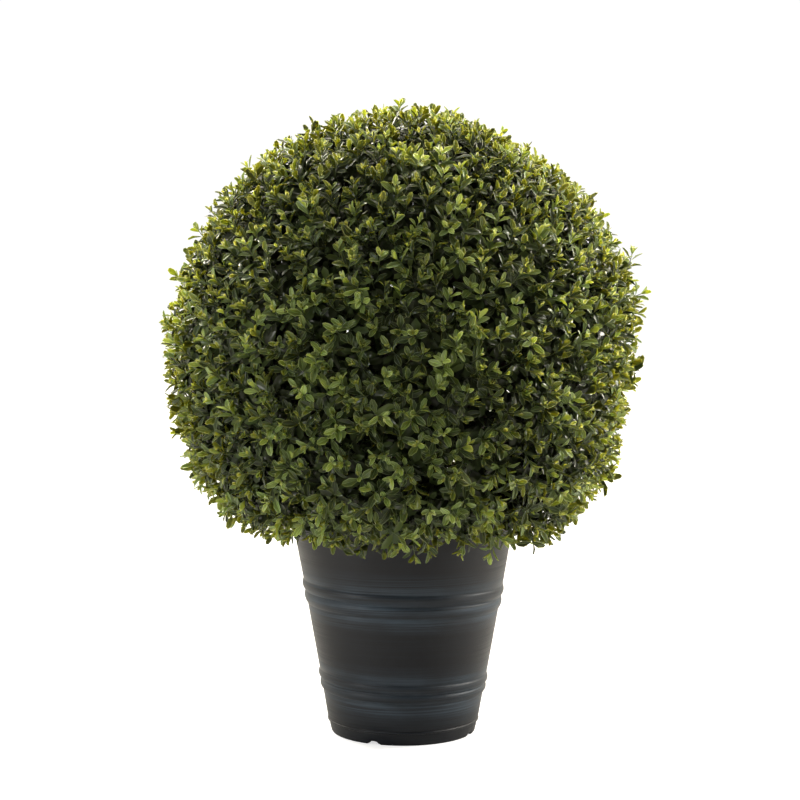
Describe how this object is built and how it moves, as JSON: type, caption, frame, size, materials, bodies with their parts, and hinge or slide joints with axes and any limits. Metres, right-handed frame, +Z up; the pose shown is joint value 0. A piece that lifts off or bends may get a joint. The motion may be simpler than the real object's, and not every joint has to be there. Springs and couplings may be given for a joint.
{
  "type": "artificial box topiary ball in a pot",
  "caption": "Clipped ball of artificial box leaves on a short hidden stem, standing in a tapered, ribbed dark plastic pot.",
  "frame": {"origin": "centre of the pot's underside, on the surface that it stands on", "axes": "+Z up through the pot and the ball, -Y towards the front, +X to the right"},
  "size_m": [0.6072, 0.6018, 0.7862],
  "materials": {
    "pot_plastic": "satin",
    "filling": "matte",
    "stem_bark": "matte",
    "foliage": "satin"
  },
  "bodies": {
    "root": {"pot": "pot_plastic", "pot_filling": "filling", "stem": "stem_bark", "foliage_ball": "foliage"}
  },
  "joints": []
}
